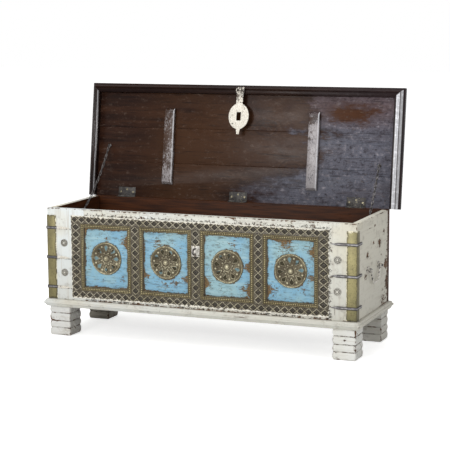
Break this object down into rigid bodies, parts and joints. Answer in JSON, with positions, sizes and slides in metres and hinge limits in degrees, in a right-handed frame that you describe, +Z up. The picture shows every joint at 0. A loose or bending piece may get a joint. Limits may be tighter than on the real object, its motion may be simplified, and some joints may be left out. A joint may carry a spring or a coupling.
{
  "type": "dowry chest",
  "caption": "Long wooden chest on banded block legs with a hinged lid on stay chains, a hanging hasp over a staple, bail handles, and a panelled front with pierced metal strips.",
  "frame": {"origin": "centre of the open chest's footprint, on the floor", "axes": "+X to the chest's right along its length, +Y to its back, +Z up"},
  "size_m": [1.221, 0.4936, 0.8806],
  "materials": {
    "white_painted_wood": "chalky distressed white paint, worn to brown wood at edges",
    "blue_painted_wood": "chalky sky-blue paint, worn",
    "dark_wood": "dark brown stain, waxed",
    "brass_sheet": "thin tarnished brass sheet, partly painted",
    "dark_iron": "black forged iron, worn",
    "painted_iron": "worn white paint on forged iron"
  },
  "bodies": {
    "case": {"leg_front_left": "white_painted_wood", "leg_front_right": "white_painted_wood", "leg_back_left": "white_painted_wood", "leg_back_right": "white_painted_wood", "base_front_rail": "white_painted_wood", "base_back_rail": "white_painted_wood", "base_left_rail": "white_painted_wood", "base_right_rail": "white_painted_wood", "front_left_stile": "white_painted_wood", "front_right_stile": "white_painted_wood", "front_bottom_rail": "white_painted_wood", "front_top_rail": "white_painted_wood", "front_muntins": "white_painted_wood", "front_panel_1": "blue_painted_wood", "front_panel_2": "blue_painted_wood", "front_panel_3": "blue_painted_wood", "front_panel_4": "blue_painted_wood", "left_side_board": "white_painted_wood", "right_side_board": "white_painted_wood", "back_board": "white_painted_wood", "floor_boards": "dark_wood", "fretted_border_strips": "brass_sheet", "fretted_muntin_strips": "brass_sheet", "bead_frames": "brass_sheet", "medallions": "brass_sheet", "rosettes": "dark_iron", "left_corner_brass": "brass_sheet", "right_corner_brass": "brass_sheet", "left_corner_straps": "dark_iron", "right_corner_straps": "dark_iron", "staple": "dark_iron", "staple_plate": "dark_iron", "case_hinge_leaves": "dark_iron", "hinge_pins": "dark_iron", "wall_chain_eyes": "dark_iron", "left_stay_chain": "dark_iron", "right_stay_chain": "dark_iron", "left_handle_eyes": "painted_iron", "right_handle_eyes": "painted_iron"},
    "lid": {"lid_chain_eyes": "dark_iron", "lid_plank_front": "dark_wood", "lid_plank_middle": "dark_wood", "lid_plank_back": "dark_wood", "lid_front_moulding": "dark_wood", "lid_left_moulding": "dark_wood", "lid_right_moulding": "dark_wood", "lid_left_batten": "dark_wood", "lid_right_batten": "dark_wood", "lid_hinge_leaves": "dark_iron", "hasp_eye": "dark_iron"},
    "link": {"hasp_link": "dark_iron"},
    "hasp": {"hasp": "painted_iron"},
    "left_handle": {"left_handle": "painted_iron"},
    "right_handle": {"right_handle": "painted_iron"}
  },
  "joints": [
    {"name": "lid_hinge", "type": "hinge", "parent": "case", "child": "lid", "pos_m": [0, 0.16922, 0.46115], "axis": [1, 0, 0], "range_deg": [0, 97.87], "deforming": ["left_stay_chain", "right_stay_chain"]},
    {"name": "link_swing", "type": "hinge", "parent": "lid", "child": "link", "pos_m": [0, 0.20096, 0.86864], "axis": [1, 0, 0], "range_deg": [-93.5, 0.5]},
    {"name": "hasp_swing", "type": "hinge", "parent": "link", "child": "hasp", "pos_m": [0, 0.19867, 0.85686], "axis": [1, 0, 0], "range_deg": [-90, 10.5]},
    {"name": "left_handle_swing", "type": "hinge", "parent": "case", "child": "left_handle", "pos_m": [-0.5852, -0.03478, 0.287], "axis": [0, 1, 0], "range_deg": [-6, 186]},
    {"name": "right_handle_swing", "type": "hinge", "parent": "case", "child": "right_handle", "pos_m": [0.5852, -0.03478, 0.287], "axis": [0, -1, 0], "range_deg": [-6, 186]}
  ],
  "couplings": [
    {"joint": "link_swing", "follows": "lid_hinge", "ratio": -0.94891}
  ]
}
